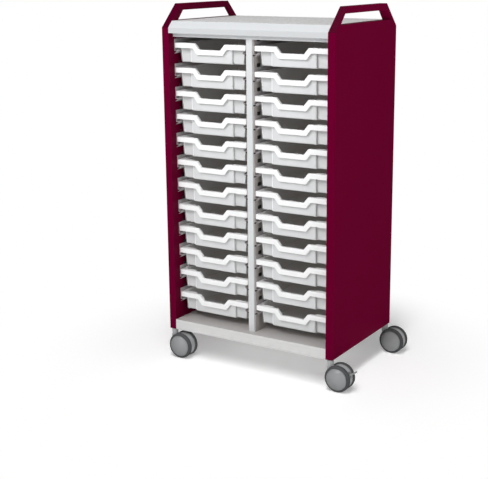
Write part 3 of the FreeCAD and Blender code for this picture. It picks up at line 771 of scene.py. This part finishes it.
def dress(node, material, width, segments, look):
    node.data.materials.clear()
    node.data.materials.append(material)
    weld = node.modifiers.new("weld", "WELD")
    weld.merge_threshold = look["weld"] * mm
    flatten = node.modifiers.new("flatten", "DECIMATE")
    flatten.decimate_type = "DISSOLVE"
    flatten.angle_limit = math.radians(look["flatAngle"])
    soften(node, width, segments)


for name in nodes:
    starts = [start for start in carriedOver if name.startswith(start)]
    if starts:
        dress(nodes[name], *carriedOver[starts[0]], cleanLook)
print("carried-over pieces")


# studio: a pale floor that runs out to white, a bright horizon, three lamps that light
# all but the floor, and one that lights the floor alone
floorLook = {
    "size": 60, "near": 0.4, "far": 1.0, "paper": 0.93, "glow": 0.26, "fleck": 0.02,
    "fleckScale": 4.0, "fleckDetail": 3.0, "roughness": 0.9}
skyLook = {
    "zenith": 0.1, "horizon": 0.66, "brightTo": 0.1, "dimFrom": 0.5, "even": 0.62, "ahead": 0.4}
lampLook = {
    "overhead": {
        "place": (0, 0.1, 5.5), "aim": (0, 0.1, 0), "size": (4.0, 4.0), "power": 100,
        "floor": "EXCLUDE"},
    "fill": {
        "place": (-0.3, -2.6, 2.7), "aim": (0, -0.2, 0.8), "size": (1.8, 1.5), "power": 67,
        "floor": "EXCLUDE"},
    "side": {
        "place": (3.3, -1.0, 1.5), "aim": (0.36, 0, 0.6), "size": (2.0, 2.4), "power": 32,
        "floor": "EXCLUDE"},
    "shadow": {
        "place": (1.0, -3.0, 6.2), "aim": (0, -0.15, 0), "size": (1.3, 5.5), "power": 362,
        "floor": "INCLUDE"}}


def makeFloor(look):
    finish = Finish(bpy.data.materials.new("floorPaper"), "Principled BSDF", {
        "Roughness": look["roughness"], "Specular IOR Level": 0.0, "Emission Strength": 1.0})
    reach = (finish.axis("X") ** 2 + finish.axis("Y") ** 2) ** 0.5
    away = finish.remap(reach, look["near"], look["far"], curve="SMOOTHSTEP")
    fleck = finish.noise(look["fleckScale"], look["fleckDetail"])
    paper = finish.between(
        fleck, grey(look["paper"] - look["fleck"]), grey(look["paper"] + look["fleck"]))
    finish.feed("Base Color", finish.between(away, paper, grey(0)))
    finish.feed("Emission Color", finish.between(away, grey(look["glow"]), grey(1)))
    bpy.ops.mesh.primitive_plane_add(size=look["size"], location=(0, 0, 0))
    floor = bpy.context.object
    floor.name = "floor"
    floor.data.materials.append(finish.owner)
    floor.visible_glossy = False  # the floor doesn't show in the gloss of the piece
    return floor


def makeSky(look):
    # brightest low down and ahead of the piece; the camera sees plain white
    world = bpy.data.worlds.new("studio")
    bpy.context.scene.world = world
    sky = Finish(world, "Background", {"Strength": 1.0})
    up, along = sky.axis("Z", "Generated"), sky.axis("Y", "Generated")
    level = sky.remap(up, look["brightTo"], look["dimFrom"], look["horizon"], look["zenith"])
    level = level * (up > 0) * (look["even"] - along * look["ahead"])
    seen = sky.add("LightPath", out="Is Camera Ray")
    light = sky.between(level, grey(0), grey(1))
    sky.feed("Color", sky.between(seen, light, grey(1)))


def softLight(name, look):
    lamp = bpy.data.lights.new(name, "AREA")
    lamp.shape = "RECTANGLE"
    lamp.size, lamp.size_y = look["size"]
    lamp.energy = look["power"]
    holder = bpy.data.objects.new(name, lamp)
    bpy.context.scene.collection.objects.link(holder)
    holder.location = look["place"]
    beam = Vector(look["aim"]) - Vector(look["place"])
    holder.rotation_euler = beam.to_track_quat("-Z", "Y").to_euler()
    return holder


def linkLight(lamp, piece, state):
    # INCLUDE: the lamp lights this piece alone; EXCLUDE: it lights everything else
    linked = bpy.data.collections.new(lamp.name + "Links")
    linked.objects.link(piece)
    lamp.light_linking.receiver_collection = linked
    linked.collection_objects[0].light_linking.link_state = state


floor = makeFloor(floorLook)
makeSky(skyLook)
lamps = [softLight(name, look) for name, look in lampLook.items()]
for lamp, look in zip(lamps, lampLook.values()):
    linkLight(lamp, floor, look["floor"])
print("studio")


cameraLook = {
    "place": (2.0388, -3.4682, 1.5089), "azimuth": 31.02, "elevation": 13.79, "roll": -0.29,
    "lens": 78.755, "sensor": 36, "shift": (-0.0533, -0.0297)}


def makeCamera(look):
    turn, lift, roll = (math.radians(look[key]) for key in ("azimuth", "elevation", "roll"))
    back = Vector((
        math.sin(turn) * math.cos(lift), -math.cos(turn) * math.cos(lift), math.sin(lift)))
    right = Vector((0, 0, 1)).cross(back).normalized()
    up = back.cross(right)
    across = right * math.cos(roll) + up * math.sin(roll)
    above = up * math.cos(roll) - right * math.sin(roll)
    camera = bpy.data.objects.new("camera", bpy.data.cameras.new("camera"))
    bpy.context.scene.collection.objects.link(camera)
    camera.data.lens = look["lens"]
    camera.data.sensor_width = look["sensor"]
    camera.data.shift_x, camera.data.shift_y = look["shift"]
    camera.matrix_world = Matrix.Translation(look["place"]) @ Matrix(
        (across, above, back)).transposed().to_4x4()
    bpy.context.scene.camera = camera


makeCamera(cameraLook)
bpy.context.scene.view_settings.view_transform = "Standard"
print("camera")
